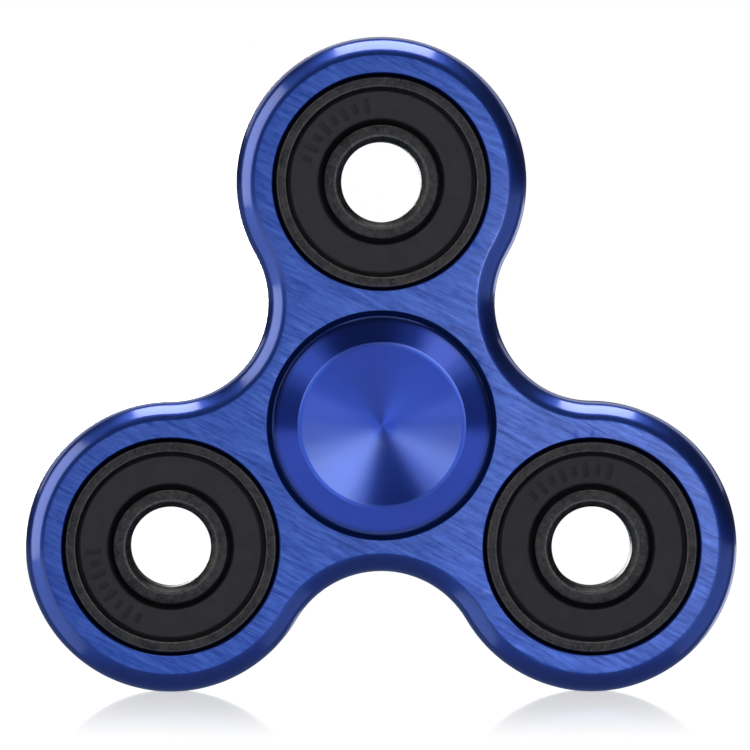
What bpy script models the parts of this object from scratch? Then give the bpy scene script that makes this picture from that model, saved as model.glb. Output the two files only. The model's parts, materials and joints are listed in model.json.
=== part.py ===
"""Three-lobed fidget spinner: a rounded frame, four sealed ball bearings and two finger caps.

The spinner stands on its two lower lobes.  Its spin axis is Y, its front faces -Y, +Z runs up through
the top lobe, and the origin is the middle of the centre bearing.  All lengths are in metres.
"""

import math

import bmesh
import bpy

MM = 0.001

# Frame
LOBE_COUNT = 3
LOBE_PITCH = 24.6 * MM          # spin axis to the axis of each lobe
LOBE_RADIUS = 14.7 * MM
WAIST_RADIUS = 10.0 * MM        # hollow between two lobes
FRAME_HALF_THICKNESS = 4.0 * MM
FRAME_EDGE_RADIUS = 1.65 * MM
LOBE_ARC_SEGMENTS = 32
WAIST_ARC_SEGMENTS = 10
EDGE_RESOLUTION = 1             # steps inside each rounded edge
SEAT_CLEARANCE = 0.05 * MM      # bearing seat to outer ring
LOBE_EDGE_BREAK = 0.15 * MM     # 45 degree chamfer round each lobe's seat
CENTRE_COUNTERSINK = 0.5 * MM   # 45 degree chamfer round the centre seat
CUTTER_OVERSHOOT = 1.0 * MM

# Ball bearing, 8 x 22 x 7 mm
BORE_RADIUS = 4.0 * MM
BEARING_RADIUS = 11.0 * MM
BEARING_HALF_WIDTH = 3.5 * MM
OUTER_CHAMFER = 0.4 * MM
BORE_CHAMFER = 0.45 * MM
INNER_NECK = 5.85 * MM          # the inner ring is stepped down beside each seal's lip
INNER_SHOULDER = 6.3 * MM
INNER_SHOULDER_HALF_WIDTH = 2.4 * MM
OUTER_SHOULDER = 8.8 * MM
BALL_PITCH_RADIUS = 7.5 * MM
BALL_RADIUS = 1.984 * MM
BALL_COUNT = 7
RACE_RADIUS = 2.12 * MM         # cross-section of the groove that the balls run in
RACE_SEGMENTS = 4
OUTER_RING_STEPS = 28
INNER_RING_STEPS = 20

# Rubber seal, seated in a step of the outer ring
SEAL_STEP_RADIUS = 9.65 * MM
SEAL_STEP_DEPTH = 1.0 * MM
SEAL_LIP_RADIUS = 6.1 * MM      # the lip reaches in over the inner ring's shoulder
SEAL_INNER_RADIUS = 6.35 * MM
SEAL_OUTER_RADIUS = 9.55 * MM
SEAL_GROOVE_RADIUS = 9.3 * MM   # the face drops to a thin lip outside this radius
SEAL_BACK = 2.65 * MM
SEAL_RIM = 3.0 * MM             # front of the rim that sits in the outer ring's step
SEAL_LIP = 2.9 * MM
SEAL_FACE = 3.25 * MM
SEAL_BEVEL = 0.2 * MM
SEAL_STEPS = 20

# Stamped ball cage, two wavy halves
CAGE_INNER_RADIUS = 6.7 * MM
CAGE_OUTER_RADIUS = 8.3 * MM
CAGE_THICKNESS = 0.3 * MM
CAGE_LAND = 0.2 * MM            # middle of the sheet between two pockets, from the ball plane
POCKET_RADIUS = 2.4 * MM        # middle of the sheet round a ball
POCKET_CROWN = 0.9 * MM         # half width of the flat over a ball
POCKET_FLANK = 2.0 * MM

# Finger caps
CAP_TOP = 6.7 * MM
DISH_RADIUS = 8.15 * MM
DISH_DEPTH = 0.9 * MM
DISH_SEGMENTS = 5
RIM_RADIUS = 8.4 * MM           # outside of the flat rim round the dish
SHOULDER_RADIUS = 10.4 * MM     # outside of the sloping shoulder
SHOULDER_SLOPE = math.radians(25)
CAP_RADIUS = 11.1 * MM
CAP_EDGE_SEGMENTS = 3
CAP_UNDERSIDE = 4.0 * MM
CAP_UNDERSIDE_BREAK = 0.2 * MM
SPACER_RADIUS = 5.5 * MM        # raised ring that bears on the inner ring
SPACER_FACE = 3.55 * MM
BOSS_RADIUS = 3.95 * MM
BOSS_END = 0.15 * MM            # the two bosses stop short of each other
SOCKET_RADIUS = 2.7 * MM
SOCKET_FLOOR = 3.4 * MM
STUD_RADIUS = 2.5 * MM
STUD_END = -3.1 * MM            # past the middle, measured from the back cap's own side
CAP_STEPS = 32

MERGE_DISTANCE = 1e-6
SHARP_ANGLE = math.radians(35)
FACE_FORWARD = (math.radians(90), 0.0, 0.0)   # turns a piece's own +Z to the front, -Y
FACE_BACK = (math.radians(180), 0.0, 0.0)     # turns a piece over inside its bearing


def clear_scene():
    for scene_object in list(bpy.data.objects):
        bpy.data.objects.remove(scene_object, do_unlink=True)


def new_collection(name):
    collection = bpy.data.collections.new(name)
    bpy.context.scene.collection.children.link(collection)
    return collection


def new_material(name, colour, roughness, metallic):
    material = bpy.data.materials.new(name)
    material.use_nodes = True
    shader = material.node_tree.nodes["Principled BSDF"]
    shader.inputs["Base Color"].default_value = (*colour, 1.0)
    shader.inputs["Roughness"].default_value = roughness
    shader.inputs["Metallic"].default_value = metallic
    material.diffuse_color = (*colour, 1.0)
    return material


def arc(centre_x, centre_y, radius, start, end, segments):
    """Points of an arc, both ends included, with angles in radians."""
    points = []
    for step in range(segments + 1):
        angle = start + (end - start) * step / segments
        points.append((centre_x + radius * math.cos(angle), centre_y + radius * math.sin(angle)))
    return points


def baked_mesh(source, name):
    """The evaluated shape of a curve or of an object with modifiers, welded, as a mesh of its own."""
    evaluated = source.evaluated_get(bpy.context.evaluated_depsgraph_get())
    mesh = bpy.data.meshes.new_from_object(evaluated)
    mesh.name = name
    data = source.data
    bpy.data.objects.remove(source, do_unlink=True)
    if isinstance(data, bpy.types.Curve):
        bpy.data.curves.remove(data)
    else:
        bpy.data.meshes.remove(data)
    shape = bmesh.new()
    shape.from_mesh(mesh)
    bmesh.ops.remove_doubles(shape, verts=shape.verts, dist=MERGE_DISTANCE)
    shape.to_mesh(mesh)
    shape.free()
    mesh.shade_smooth()
    mesh.set_sharp_from_angle(angle=SHARP_ANGLE)
    return mesh


def profile_object(name, profile, steps, closed):
    """A profile of (radius, height) points with a full Screw about Z."""
    mesh = bpy.data.meshes.new(name)
    shape = bmesh.new()
    points = [shape.verts.new((radius, 0.0, height)) for radius, height in profile]
    for first, second in zip(points, points[1:]):
        shape.edges.new((first, second))
    if closed:
        shape.edges.new((points[-1], points[0]))
    shape.to_mesh(mesh)
    shape.free()
    turned = bpy.data.objects.new(name, mesh)
    screw = turned.modifiers.new("Screw", "SCREW")
    screw.axis = "Z"
    screw.angle = math.tau
    screw.steps = steps
    screw.render_steps = steps
    screw.use_merge_vertices = True
    screw.merge_threshold = MERGE_DISTANCE
    return turned


def turned_mesh(name, profile, steps, closed=True):
    turned = profile_object(name, profile, steps, closed)
    bpy.context.scene.collection.objects.link(turned)
    return baked_mesh(turned, name)


def place(name, mesh, material, collection, parent, location=(0, 0, 0), rotation=(0, 0, 0)):
    piece = bpy.data.objects.new(name, mesh)
    if not mesh.materials:
        mesh.materials.append(material)
    collection.objects.link(piece)
    piece.parent = parent
    piece.location = location
    piece.rotation_euler = rotation
    return piece


def axis_empty(name, collection, centre):
    """An empty on a spin axis, whose own +Z points to the front."""
    empty = bpy.data.objects.new(name, None)
    collection.objects.link(empty)
    empty.location = centre
    empty.rotation_euler = FACE_FORWARD
    return empty


def lobe_angle(index):
    """Direction of a lobe from the spin axis, with the first lobe straight up."""
    return math.pi / 2 + math.tau * index / LOBE_COUNT


def frame_outline():
    """The outline, counter-clockwise: each lobe's arc, then the hollow before the next lobe."""
    reach = LOBE_RADIUS + WAIST_RADIUS
    discriminant = LOBE_PITCH ** 2 - 4 * (LOBE_PITCH ** 2 - reach ** 2)
    waist_pitch = (LOBE_PITCH + math.sqrt(discriminant)) / 2
    half_turn = math.pi / LOBE_COUNT
    lobe_half_span = math.pi / 2 + math.asin((LOBE_PITCH - waist_pitch * math.cos(half_turn)) / reach)
    waist_half_span = lobe_half_span - half_turn
    points = []
    for index in range(LOBE_COUNT):
        outward = lobe_angle(index)
        points += arc(LOBE_PITCH * math.cos(outward), LOBE_PITCH * math.sin(outward), LOBE_RADIUS,
                      outward - lobe_half_span, outward + lobe_half_span, LOBE_ARC_SEGMENTS)
        waist = outward + half_turn
        inward = waist + math.pi
        hollow = arc(waist_pitch * math.cos(waist), waist_pitch * math.sin(waist), WAIST_RADIUS,
                     inward + waist_half_span, inward - waist_half_span, WAIST_ARC_SEGMENTS)
        points += hollow[1:-1]
    return points


def frame_blank():
    """The plate without its seats: a filled outline, extruded, with rounded edges."""
    outline = frame_outline()
    curve = bpy.data.curves.new("frame_outline", "CURVE")
    curve.dimensions = "2D"
    curve.fill_mode = "BOTH"
    curve.extrude = FRAME_HALF_THICKNESS - FRAME_EDGE_RADIUS
    curve.bevel_depth = FRAME_EDGE_RADIUS
    curve.bevel_resolution = EDGE_RESOLUTION
    curve.offset = -FRAME_EDGE_RADIUS
    spline = curve.splines.new("POLY")
    spline.points.add(len(outline) - 1)
    for point, (x, y) in zip(spline.points, outline):
        point.co = (x, y, 0.0, 1.0)
    spline.use_cyclic_u = True
    blank = bpy.data.objects.new("frame_outline", curve)
    bpy.context.scene.collection.objects.link(blank)
    return baked_mesh(blank, "frame")


def seat_cutter(name, collection, parent, edge_break):
    """A bearing seat through the frame, chamfered at both faces, with its axis on the parent's."""
    radius = BEARING_RADIUS + SEAT_CLEARANCE
    chamfer_start = FRAME_HALF_THICKNESS - edge_break
    end = FRAME_HALF_THICKNESS + CUTTER_OVERSHOOT
    end_radius = radius + edge_break + CUTTER_OVERSHOOT
    profile = [
        (0.0, end),
        (end_radius, end),
        (radius, chamfer_start),
        (radius, -chamfer_start),
        (end_radius, -end),
        (0.0, -end),
    ]
    cutter = profile_object(name, profile, OUTER_RING_STEPS, closed=False)
    cutter.parent = parent
    cutter.hide_render = True
    cutter.display_type = "WIRE"
    collection.objects.link(cutter)
    return cutter


def make_frame(parts, cutters, axes, material):
    frame = place("spinner_frame", frame_blank(), material, parts, axes["center"])
    for name, axis in axes.items():
        edge_break = CENTRE_COUNTERSINK if name == "center" else LOBE_EDGE_BREAK
        cut = frame.modifiers.new(name + "_seat", "BOOLEAN")
        cut.operation = "DIFFERENCE"
        cut.object = seat_cutter(name + "_seat_cutter", cutters, axis, edge_break)
    return frame


def outer_ring_profile():
    edge = BEARING_HALF_WIDTH - OUTER_CHAMFER
    step = BEARING_HALF_WIDTH - SEAL_STEP_DEPTH
    span = math.acos((OUTER_SHOULDER - BALL_PITCH_RADIUS) / RACE_RADIUS)
    race = arc(BALL_PITCH_RADIUS, 0.0, RACE_RADIUS, -span, span, RACE_SEGMENTS)
    return [
        (BEARING_RADIUS, edge),
        (BEARING_RADIUS, -edge),
        (BEARING_RADIUS - OUTER_CHAMFER, -BEARING_HALF_WIDTH),
        (SEAL_STEP_RADIUS, -BEARING_HALF_WIDTH),
        (SEAL_STEP_RADIUS, -step),
        (OUTER_SHOULDER, -step),
        *race,
        (OUTER_SHOULDER, step),
        (SEAL_STEP_RADIUS, step),
        (SEAL_STEP_RADIUS, BEARING_HALF_WIDTH),
        (BEARING_RADIUS - OUTER_CHAMFER, BEARING_HALF_WIDTH),
    ]


def inner_ring_profile():
    edge = BEARING_HALF_WIDTH - BORE_CHAMFER
    span = math.acos((BALL_PITCH_RADIUS - INNER_SHOULDER) / RACE_RADIUS)
    race = arc(BALL_PITCH_RADIUS, 0.0, RACE_RADIUS, math.pi - span, math.pi + span, RACE_SEGMENTS)
    return [
        (INNER_NECK, BEARING_HALF_WIDTH),
        (INNER_NECK, INNER_SHOULDER_HALF_WIDTH),
        (INNER_SHOULDER, INNER_SHOULDER_HALF_WIDTH),
        *race,
        (INNER_SHOULDER, -INNER_SHOULDER_HALF_WIDTH),
        (INNER_NECK, -INNER_SHOULDER_HALF_WIDTH),
        (INNER_NECK, -BEARING_HALF_WIDTH),
        (BORE_RADIUS + BORE_CHAMFER, -BEARING_HALF_WIDTH),
        (BORE_RADIUS, -edge),
        (BORE_RADIUS, edge),
        (BORE_RADIUS + BORE_CHAMFER, BEARING_HALF_WIDTH),
    ]


def seal_profile():
    return [
        (SEAL_INNER_RADIUS + SEAL_BEVEL, SEAL_FACE),
        (SEAL_GROOVE_RADIUS - SEAL_BEVEL, SEAL_FACE),
        (SEAL_GROOVE_RADIUS, SEAL_RIM),
        (SEAL_OUTER_RADIUS, SEAL_RIM),
        (SEAL_OUTER_RADIUS, SEAL_BACK),
        (SEAL_LIP_RADIUS, SEAL_BACK),
        (SEAL_LIP_RADIUS, SEAL_LIP),
        (SEAL_INNER_RADIUS, SEAL_LIP),
        (SEAL_INNER_RADIUS, SEAL_FACE - SEAL_BEVEL),
    ]


def cage_mesh():
    """One stamped half: a wavy ring that arches over each ball and lies flat between two balls."""
    wave = []
    for along in (POCKET_CROWN, POCKET_FLANK):
        wave.append((along, math.sqrt(POCKET_RADIUS ** 2 - along ** 2)))
    wave.append((math.sqrt(POCKET_RADIUS ** 2 - CAGE_LAND ** 2), CAGE_LAND))
    wave = [(-along, height) for along, height in reversed(wave)] + wave
    mesh = bpy.data.meshes.new("cage_half")
    shape = bmesh.new()
    points = []
    for ball in range(BALL_COUNT):
        for along, height in wave:
            angle = ball_angle(ball) + along / BALL_PITCH_RADIUS
            points.append(shape.verts.new((CAGE_INNER_RADIUS * math.cos(angle),
                                           CAGE_INNER_RADIUS * math.sin(angle), height)))
    for first, second in zip(points, points[1:] + points[:1]):
        shape.edges.new((first, second))
    widened = bmesh.ops.extrude_edge_only(shape, edges=shape.edges)
    stretch = CAGE_OUTER_RADIUS / CAGE_INNER_RADIUS
    for element in widened["geom"]:
        if isinstance(element, bmesh.types.BMVert):
            element.co.x *= stretch
            element.co.y *= stretch
    bmesh.ops.recalc_face_normals(shape, faces=shape.faces)
    shape.to_mesh(mesh)
    shape.free()
    sheet = bpy.data.objects.new("cage_half", mesh)
    bpy.context.scene.collection.objects.link(sheet)
    solidify = sheet.modifiers.new("Solidify", "SOLIDIFY")
    solidify.thickness = CAGE_THICKNESS
    solidify.offset = 0.0
    solidify.use_even_offset = True
    return baked_mesh(sheet, "cage_half")


def ball_angle(index):
    """Balls start on +X, the line that a turned-over cage half keeps in place."""
    return math.tau * index / BALL_COUNT


def ball_mesh():
    mesh = bpy.data.meshes.new("ball")
    shape = bmesh.new()
    bmesh.ops.create_icosphere(shape, subdivisions=2, radius=BALL_RADIUS)
    shape.to_mesh(mesh)
    shape.free()
    mesh.shade_smooth()
    return mesh


def cap_outside():
    """The visible side of a cap, from the middle of the dish out and down to the underside."""
    sphere_radius = (DISH_RADIUS ** 2 + DISH_DEPTH ** 2) / (2 * DISH_DEPTH)
    dish_span = math.asin(DISH_RADIUS / sphere_radius)
    down = -math.pi / 2
    dish = arc(0.0, CAP_TOP - DISH_DEPTH + sphere_radius, sphere_radius, down, down + dish_span,
               DISH_SEGMENTS)
    shoulder_drop = (SHOULDER_RADIUS - RIM_RADIUS) * math.tan(SHOULDER_SLOPE)
    edge_radius = (CAP_RADIUS - SHOULDER_RADIUS) / (1 - math.sin(SHOULDER_SLOPE))
    edge_height = CAP_TOP - shoulder_drop - edge_radius * math.cos(SHOULDER_SLOPE)
    edge = arc(CAP_RADIUS - edge_radius, edge_height, edge_radius, math.pi / 2 - SHOULDER_SLOPE, 0.0,
               CAP_EDGE_SEGMENTS)
    return [
        (0.0, dish[0][1]),
        *dish[1:],
        (RIM_RADIUS, CAP_TOP),
        *edge,
        (CAP_RADIUS, CAP_UNDERSIDE + CAP_UNDERSIDE_BREAK),
        (CAP_RADIUS - CAP_UNDERSIDE_BREAK, CAP_UNDERSIDE),
        (SPACER_RADIUS, CAP_UNDERSIDE),
        (SPACER_RADIUS, SPACER_FACE),
        (BOSS_RADIUS, SPACER_FACE),
        (BOSS_RADIUS, BOSS_END),
    ]


def front_cap_profile():
    return cap_outside() + [
        (SOCKET_RADIUS, BOSS_END),
        (SOCKET_RADIUS, SOCKET_FLOOR),
        (0.0, SOCKET_FLOOR),
    ]


def back_cap_profile():
    return cap_outside() + [
        (STUD_RADIUS, BOSS_END),
        (STUD_RADIUS, STUD_END),
        (0.0, STUD_END),
    ]


def make_bearing(name, parts, axis, meshes, materials):
    """The 13 pieces of one sealed bearing, centred on its axis empty."""
    prefix = name + "_bearing_"
    place(prefix + "outer_ring", meshes["outer_ring"], materials["ring"], parts, axis)
    place(prefix + "inner_ring", meshes["inner_ring"], materials["ring"], parts, axis)
    for side, rotation in (("front", (0, 0, 0)), ("back", FACE_BACK)):
        place(prefix + "seal_" + side, meshes["seal"], materials["seal"], parts, axis, rotation=rotation)
        place(prefix + "cage_" + side, meshes["cage"], materials["cage"], parts, axis, rotation=rotation)
    for index in range(BALL_COUNT):
        angle = ball_angle(index)
        centre = (BALL_PITCH_RADIUS * math.cos(angle), BALL_PITCH_RADIUS * math.sin(angle), 0.0)
        place(f"{prefix}ball_{index + 1}", meshes["ball"], materials["ball"], parts, axis, centre)


def main():
    clear_scene()
    parts = new_collection("fidget_spinner")
    cutters = new_collection("cutters")
    materials = {
        "frame": new_material("blue_anodised_frame", (0.05, 0.12, 0.48), 0.32, 1.0),
        "cap": new_material("blue_anodised_cap", (0.035, 0.08, 0.36), 0.25, 1.0),
        "ring": new_material("black_bearing_steel", (0.035, 0.035, 0.038), 0.38, 1.0),
        "seal": new_material("black_seal_rubber", (0.03, 0.029, 0.032), 0.6, 0.0),
        "cage": new_material("stamped_cage_steel", (0.55, 0.54, 0.5), 0.35, 1.0),
        "ball": new_material("polished_ball_steel", (0.75, 0.75, 0.76), 0.08, 1.0),
    }
    axes = {"center": axis_empty("center_axis", parts, (0, 0, 0))}
    for name, index in (("top", 0), ("left", 1), ("right", 2)):
        angle = lobe_angle(index)
        centre = (LOBE_PITCH * math.cos(angle), 0.0, LOBE_PITCH * math.sin(angle))
        axes[name] = axis_empty(name + "_axis", parts, centre)
    make_frame(parts, cutters, axes, materials["frame"])
    meshes = {
        "outer_ring": turned_mesh("outer_ring", outer_ring_profile(), OUTER_RING_STEPS),
        "inner_ring": turned_mesh("inner_ring", inner_ring_profile(), INNER_RING_STEPS),
        "seal": turned_mesh("seal", seal_profile(), SEAL_STEPS),
        "cage": cage_mesh(),
        "ball": ball_mesh(),
    }
    for name, axis in axes.items():
        make_bearing(name, parts, axis, meshes, materials)
    front_cap = turned_mesh("front_cap", front_cap_profile(), CAP_STEPS, closed=False)
    back_cap = turned_mesh("back_cap", back_cap_profile(), CAP_STEPS, closed=False)
    place("front_cap", front_cap, materials["cap"], parts, axes["center"])
    place("back_cap", back_cap, materials["cap"], parts, axes["center"], rotation=FACE_BACK)


main()
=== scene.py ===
"""Fidget spinner: the finished surfaces, the studio and the camera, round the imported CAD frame.

The spinner stands on its two lower lobes. Its spin axis is Y, its front faces -Y and +Z runs up through
the top lobe. Turned pieces are built about their own Z, with +Z to the front. Profiles are in
millimetres; everything in the scene is in metres.
"""

import json
import math

import bmesh
import bpy
from mathutils import Matrix, Vector


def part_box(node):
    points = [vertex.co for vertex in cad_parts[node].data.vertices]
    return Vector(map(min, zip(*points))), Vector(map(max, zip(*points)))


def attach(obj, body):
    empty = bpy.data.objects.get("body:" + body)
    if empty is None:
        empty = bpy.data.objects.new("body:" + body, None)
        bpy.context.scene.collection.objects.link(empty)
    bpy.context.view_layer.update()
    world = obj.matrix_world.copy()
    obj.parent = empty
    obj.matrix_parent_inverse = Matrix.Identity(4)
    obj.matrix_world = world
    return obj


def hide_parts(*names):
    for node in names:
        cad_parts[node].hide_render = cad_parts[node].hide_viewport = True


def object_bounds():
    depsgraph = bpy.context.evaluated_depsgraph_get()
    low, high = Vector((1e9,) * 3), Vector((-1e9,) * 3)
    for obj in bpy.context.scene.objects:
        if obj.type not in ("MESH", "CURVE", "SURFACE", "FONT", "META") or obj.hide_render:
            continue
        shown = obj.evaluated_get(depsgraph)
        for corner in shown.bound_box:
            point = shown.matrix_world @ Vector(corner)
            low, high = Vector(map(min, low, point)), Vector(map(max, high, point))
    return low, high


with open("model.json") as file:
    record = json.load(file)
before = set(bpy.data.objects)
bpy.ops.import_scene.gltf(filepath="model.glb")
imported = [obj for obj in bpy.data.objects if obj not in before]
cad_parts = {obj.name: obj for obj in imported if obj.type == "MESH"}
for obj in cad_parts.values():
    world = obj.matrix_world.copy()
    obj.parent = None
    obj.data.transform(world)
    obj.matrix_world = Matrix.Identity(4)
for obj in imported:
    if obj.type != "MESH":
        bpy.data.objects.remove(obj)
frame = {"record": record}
cad_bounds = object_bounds()

MM = 0.001

# Frame, mm
LOBE_COUNT = 3
LOBE_RADIUS = 14.7
WAIST_RADIUS = 10.0             # the hollow between two lobes
EDGE_RADIUS = 2.05              # the rounded edge of both faces
LOBE_EDGE_BREAK = 0.1           # the chamfer round a lobe's bearing seat
CENTRE_COUNTERSINK = 0.54       # the chamfer round the centre bearing's seat
BRUSHED_EDGE_BANDS = 1          # strips of the rounded edge that the brushing ran over
BRUSH_ANGLE = math.radians(-28)     # of the brushed lines in the face, from +X towards +Z
LOBE_STEPS = 108
WAIST_STEPS = 30
EDGE_STEPS = 18
SEAT_STEPS = 128

# Bearing, mm
BORE_RADIUS = 4.06
BEARING_RADIUS = 11.0
BEARING_HALF_WIDTH = 3.5
OUTER_CHAMFER = 0.41
BORE_CHAMFER = 0.52
INNER_NECK = 5.78               # the inner ring inside the seal's lip
INNER_SHOULDER = 6.3            # the inner ring beside the race
INNER_SHOULDER_HALF_WIDTH = 2.4
OUTER_SHOULDER = 8.8            # the outer ring beside the race
BALL_PITCH_RADIUS = 7.5
BALL_RADIUS = 1.984
BALL_COUNT = 7
RACE_RADIUS = 2.12
RACE_STEPS = 14
BEARING_STEPS = 128
BALL_CUTS = 11                  # cuts across each side of the cube that becomes a ball

# Seal, mm: radii, then heights from the bearing's middle
SEAL_STEP_RADIUS = 9.65         # the step in the outer ring that the seal sits in
SEAL_STEP_DEPTH = 1.0
SEAL_LIP_RADIUS = 6.1
SEAL_INNER_RADIUS = 6.28        # where the face starts
SEAL_GROOVE_RADIUS = 9.3        # where the face ends
SEAL_OUTER_RADIUS = 9.55
SEAL_BEVEL = 0.2
SEAL_BACK = 2.65
SEAL_LIP = 2.9
SEAL_RIM = 3.0
SEAL_FACE = 3.25
MARK_RADIUS = 7.85
MARK_COUNT = 8
MARK_PITCH = math.radians(8.8)
MARK_LENGTH = 0.5
MARK_WIDTHS = (1.50, 0.95)      # across the seal, by turns
MARK_HEIGHT = 0.07
MARK_SINK = 0.15                # how far a mark reaches into the seal
MARK_EASE = 0.03
MARK_STEPS = 3

# Cage, mm
CAGE_INNER_RADIUS = 6.7
CAGE_OUTER_RADIUS = 8.3
CAGE_THICKNESS = 0.3
CAGE_EASE = 0.04
CAGE_LAND = 0.2                 # height of the sheet's middle between the pockets
POCKET_RADIUS = 2.4
POCKET_STEPS = 12
LAND_STEPS = 4
CAGE_WIDTH_STEPS = 3

# Caps, mm: radii, and heights from the spinner's middle plane
CAP_TOP = 6.7
DISH_RADIUS = 8.04
DISH_DEPTH = 0.9
DISH_STEPS = 20
RIM_RADIUS = 8.48
SHOULDER_RADIUS = 10.65
SHOULDER_SLOPE = math.radians(25)
CAP_RADIUS = 11.1
CAP_EDGE_STEPS = 8
CAP_UNDERSIDE = 4.0
CAP_UNDERSIDE_BREAK = 0.2
SPACER_RADIUS = 5.5
SPACER_FACE = 3.55
BOSS_RADIUS = 3.95
BOSS_END = 0.15
SOCKET_RADIUS = 2.7
SOCKET_FLOOR = 3.4
STUD_RADIUS = 2.5
STUD_END = -3.1
CAP_STEPS = 160

CORNER_STEPS = 3
SHARP_ANGLE = math.radians(32)


# ---------------------------------------------------------------- mesh helpers


def mesh_from(shape, name):
    """The finished mesh of a bmesh, which is freed."""
    mesh = bpy.data.meshes.new(name)
    shape.to_mesh(mesh)
    shape.free()
    return mesh


def new_object(name, mesh, materials):
    """A piece in the scene. A mesh that several pieces share gets its materials once."""
    piece = bpy.data.objects.new(name, mesh)
    bpy.context.scene.collection.objects.link(piece)
    if not mesh.materials:
        for material in materials:
            mesh.materials.append(material)
    normals = piece.modifiers.new("Weighted normals", "WEIGHTED_NORMAL")
    normals.mode = "FACE_AREA"
    normals.keep_sharp = True
    return piece


def arc(centre_x, centre_y, radius, start, end, steps):
    """Points from one angle to another, both ends included."""
    points = []
    for step in range(steps + 1):
        angle = start + (end - start) * step / steps
        points.append((centre_x + radius * math.cos(angle), centre_y + radius * math.sin(angle)))
    return points


def rounded(corner, before, after, radius):
    """Points that round one corner of a profile with a quadratic curve."""
    corner = Vector(corner)
    start = corner + (Vector(before) - corner).normalized() * radius
    end = corner + (Vector(after) - corner).normalized() * radius
    points = []
    for step in range(CORNER_STEPS + 1):
        t = step / CORNER_STEPS
        point = start * (1 - t) ** 2 + corner * (2 * t * (1 - t)) + end * t ** 2
        points.append((point.x, point.y))
    return points


def round_corners(profile, closed):
    """A profile whose entries are (radius, height) or (radius, height, corner radius)."""
    points = []
    count = len(profile)
    for index, entry in enumerate(profile):
        if len(entry) == 2 or (not closed and index in (0, count - 1)):
            points.append(tuple(entry[:2]))
            continue
        before = profile[index - 1][:2]
        after = profile[(index + 1) % count][:2]
        points += rounded(entry[:2], before, after, entry[2])
    return points


def turned_mesh(name, profile, steps, closed=True):
    """A profile turned about Z. An open profile starts and ends on the axis."""
    points = round_corners(profile, closed)
    shape = bmesh.new()
    rings = []
    for radius, height in points:
        if radius < 1e-6:
            rings.append([shape.verts.new((0.0, 0.0, height * MM))] * steps)
            continue
        ring = []
        for step in range(steps):
            angle = math.tau * step / steps
            x = radius * math.cos(angle) * MM
            y = radius * math.sin(angle) * MM
            ring.append(shape.verts.new((x, y, height * MM)))
        rings.append(ring)
    pairs = list(zip(rings, rings[1:]))
    if closed:
        pairs.append((rings[-1], rings[0]))
    for lower, upper in pairs:
        for step in range(steps):
            following = (step + 1) % steps
            corners = []
            for vertex in (lower[step], lower[following], upper[following], upper[step]):
                if vertex not in corners:
                    corners.append(vertex)
            face = shape.faces.new(corners)
            face.smooth = True
    bmesh.ops.recalc_face_normals(shape, faces=shape.faces)
    mesh = mesh_from(shape, name)
    mesh.set_sharp_from_angle(angle=SHARP_ANGLE)
    return mesh


def facing(centre, side, spin=0.0):
    """The place of a turned piece: at a centre, with its +Z to the front or to the back."""
    tilt = math.radians(90 if side == "front" else 270)
    turn = Matrix.Rotation(tilt, 4, "X") @ Matrix.Rotation(spin, 4, "Z")
    return Matrix.Translation(centre) @ turn


# ---------------------------------------------------------------- materials


def new_material(name):
    material = bpy.data.materials.new(name)
    material.use_nodes = True
    tree = material.node_tree
    return material, tree, tree.nodes["Principled BSDF"]


def add(tree, kind, inputs=None, **settings):
    """A node with its settings, its input values and its incoming links."""
    made = tree.nodes.new(kind)
    for key, value in settings.items():
        setattr(made, key, value)
    for key, value in (inputs or {}).items():
        if isinstance(value, bpy.types.NodeSocket):
            tree.links.new(value, made.inputs[key])
        else:
            made.inputs[key].default_value = value
    return made


def math_node(tree, operation, first, second=0.0, clamp=False):
    made = add(tree, "ShaderNodeMath", {0: first, 1: second}, operation=operation, use_clamp=clamp)
    return made.outputs[0]


def ramp(tree, value, low, high, start=0.0, end=1.0, smooth=False):
    """Goes from start to end while the value goes from low to high, and stays there."""
    kind = "SMOOTHSTEP" if smooth else "LINEAR"
    inputs = {"Value": value, "From Min": low, "From Max": high, "To Min": start, "To Max": end}
    return add(tree, "ShaderNodeMapRange", inputs, interpolation_type=kind).outputs[0]


def noise(tree, vector, scale, detail=3.0, roughness=0.5):
    inputs = {"Vector": vector, "Scale": scale, "Detail": detail, "Roughness": roughness}
    return add(tree, "ShaderNodeTexNoise", inputs).outputs[0]


def near_line(tree, value, line, full, faded):
    """1 within one distance of a line, falling to 0 at another."""
    away = math_node(tree, "ABSOLUTE", math_node(tree, "SUBTRACT", value, line))
    return ramp(tree, away, full, faded, 1.0, 0.0)


def mix_colour(tree, factor, first, second):
    made = tree.nodes.new("ShaderNodeMix")
    made.data_type = "RGBA"
    for socket, value in (("Factor_Float", factor), ("A_Color", first), ("B_Color", second)):
        target = next(s for s in made.inputs if s.identifier == socket)
        if isinstance(value, bpy.types.NodeSocket):
            tree.links.new(value, target)
        else:
            target.default_value = value
    return next(s for s in made.outputs if s.identifier == "Result_Color")


def colour(red, green, blue):
    return (red, green, blue, 1.0)


def object_position(tree):
    """The surface point in the piece's own space, in millimetres."""
    place = add(tree, "ShaderNodeTexCoord").outputs["Object"]
    scaled = add(tree, "ShaderNodeVectorMath", {0: place, 3: 1000.0}, operation="SCALE")
    return scaled.outputs[0]


def stretched(tree, position, rotation, scale):
    """The position turned, then scaled along each axis, for streaks."""
    turned = add(tree, "ShaderNodeMapping", {"Vector": position, "Rotation": rotation})
    return add(tree, "ShaderNodeMapping", {"Vector": turned.outputs[0], "Scale": scale}).outputs[0]


def bump(tree, height, distance, strength):
    """A bumped normal. The distance is in millimetres."""
    inputs = {"Height": height, "Distance": distance * MM, "Strength": strength}
    return add(tree, "ShaderNodeBump", inputs).outputs[0]


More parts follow.
